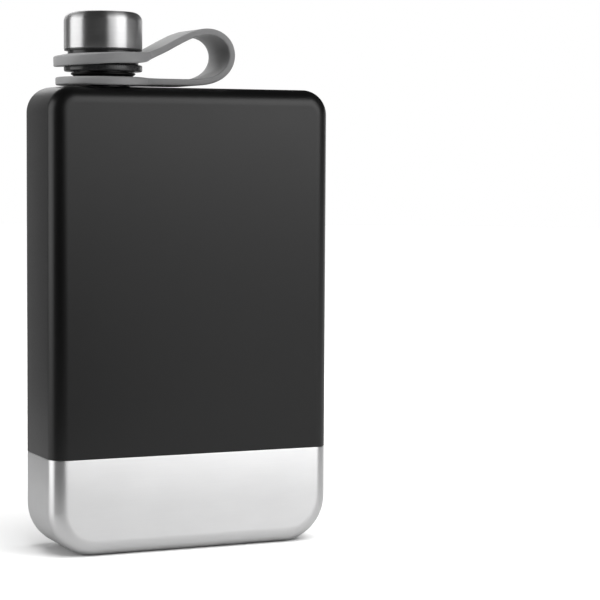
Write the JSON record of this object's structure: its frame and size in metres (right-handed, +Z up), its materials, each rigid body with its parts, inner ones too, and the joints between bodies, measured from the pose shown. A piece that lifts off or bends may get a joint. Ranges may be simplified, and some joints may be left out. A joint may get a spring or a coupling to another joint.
{
  "type": "hip flask",
  "caption": "Slim steel hip flask with a dark coated upper shell, bare steel base, off-centre screw cap and a silicone carry strap that keeps the cap on the flask.",
  "frame": {"origin": "centre of the base, on the surface the flask stands on", "axes": "+X across the width towards the carry loop, +Y through the depth to the back, +Z up towards the mouth"},
  "size_m": [0.09, 0.0298, 0.1624],
  "materials": {
    "coated_steel": "satin black powder coat",
    "brushed_steel": "fine horizontal brushing",
    "neck_steel": "turned steel, black coated bead",
    "cap_steel": "circular brushing",
    "cap_plastic": "semi-gloss moulded black",
    "gasket_silicone": "smooth pale silicone",
    "strap_silicone": "matte grey silicone"
  },
  "bodies": {
    "flask": {"upper_shell": "coated_steel", "base_shell": "brushed_steel", "neck_spout": "neck_steel"},
    "strap": {"strap_neck_ring": "strap_silicone"},
    "loop": {"strap_loop": "strap_silicone"},
    "top_ring": {"strap_cap_ring": "strap_silicone"},
    "seal": {"cap_gasket": "gasket_silicone"},
    "cap": {"cap_cover": "cap_steel", "cap_core": "cap_plastic"}
  },
  "joints": [
    {"name": "strap_swivel", "type": "hinge", "parent": "flask", "child": "strap", "pos_m": [-0.0242, 0, 0.1417], "axis": [0, 0, 1], "continuous": true},
    {"name": "loop_rise", "type": "slide", "parent": "strap", "child": "loop", "axis": [0, 0, 1], "range_m": [0, 0.0076], "deforming": ["strap_loop"]},
    {"name": "ring_rise", "type": "slide", "parent": "loop", "child": "top_ring", "axis": [0, 0, 1], "range_m": [0, 0.0076]},
    {"name": "cap_lift", "type": "slide", "parent": "flask", "child": "seal", "axis": [0, 0, 1], "range_m": [0, 0.0151]},
    {"name": "cap_turn", "type": "hinge", "parent": "seal", "child": "cap", "pos_m": [-0.0242, 0, 0.1568], "axis": [0, 0, 1], "range_deg": [0, 1800]}
  ],
  "couplings": [
    {"joint": "cap_lift", "follows": "cap_turn", "m_per_rad": 0.00047746},
    {"joint": "loop_rise", "follows": "cap_turn", "m_per_rad": 0.00023873},
    {"joint": "ring_rise", "follows": "cap_turn", "m_per_rad": 0.00023873}
  ]
}
